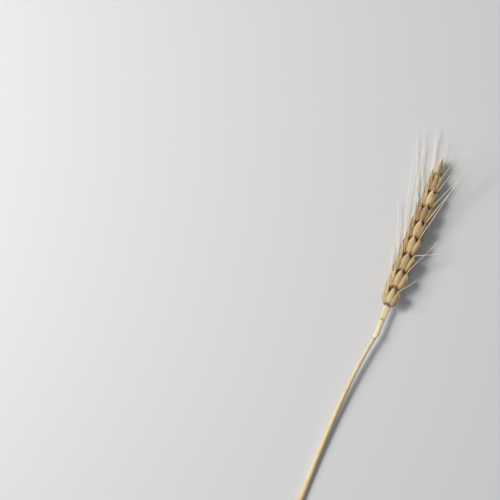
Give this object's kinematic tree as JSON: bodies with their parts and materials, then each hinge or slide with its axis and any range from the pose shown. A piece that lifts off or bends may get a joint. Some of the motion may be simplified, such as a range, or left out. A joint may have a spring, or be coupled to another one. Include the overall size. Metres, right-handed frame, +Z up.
{
  "type": "wheat ear",
  "caption": "Ripe bearded wheat ear on a length of cut straw, lying down: overlapping husks in two ranks along a zigzag rachis, with long bristly awns.",
  "frame": {"origin": "on the surface the ear lies on, under the middle of its bounding box", "axes": "+X along the ear from the cut straw to the awn tips, +Y to the left of the ear, +Z up, away from the surface"},
  "size_m": [0.2488, 0.0376, 0.0165],
  "materials": {
    "straw": "smooth dry straw with a slight waxy sheen and fine ribs",
    "rachis": "dull dry straw with pale hairy edges",
    "glume": "papery golden husk with raised veins",
    "florets": "papery golden husk, silky, with fine veins and pale bristles"
  },
  "bodies": {
    "root": {"straw": "straw", "rachis": "rachis", "spikelet_01_florets": "florets", "spikelet_01_glume_left": "glume", "spikelet_01_glume_right": "glume", "spikelet_02_florets": "florets", "spikelet_02_glume_left": "glume", "spikelet_02_glume_right": "glume", "spikelet_03_florets": "florets", "spikelet_03_glume_left": "glume", "spikelet_03_glume_right": "glume", "spikelet_04_florets": "florets", "spikelet_04_glume_left": "glume", "spikelet_04_glume_right": "glume", "spikelet_05_florets": "florets", "spikelet_05_glume_left": "glume", "spikelet_05_glume_right": "glume", "spikelet_06_florets": "florets", "spikelet_06_glume_left": "glume", "spikelet_06_glume_right": "glume", "spikelet_07_florets": "florets", "spikelet_07_glume_left": "glume", "spikelet_07_glume_right": "glume", "spikelet_08_florets": "florets", "spikelet_08_glume_left": "glume", "spikelet_08_glume_right": "glume", "spikelet_09_florets": "florets", "spikelet_09_glume_left": "glume", "spikelet_09_glume_right": "glume", "spikelet_10_florets": "florets", "spikelet_10_glume_left": "glume", "spikelet_10_glume_right": "glume", "spikelet_11_florets": "florets", "spikelet_11_glume_left": "glume", "spikelet_11_glume_right": "glume", "spikelet_12_florets": "florets", "spikelet_12_glume_left": "glume", "spikelet_12_glume_right": "glume", "spikelet_13_florets": "florets", "spikelet_13_glume_left": "glume", "spikelet_13_glume_right": "glume", "spikelet_14_florets": "florets", "spikelet_14_glume_left": "glume", "spikelet_14_glume_right": "glume", "spikelet_15_florets": "florets", "spikelet_15_glume_left": "glume", "spikelet_15_glume_right": "glume", "spikelet_16_florets": "florets", "spikelet_16_glume_left": "glume", "spikelet_16_glume_right": "glume", "spikelet_17_florets": "florets", "spikelet_17_glume_left": "glume", "spikelet_17_glume_right": "glume"}
  },
  "joints": []
}
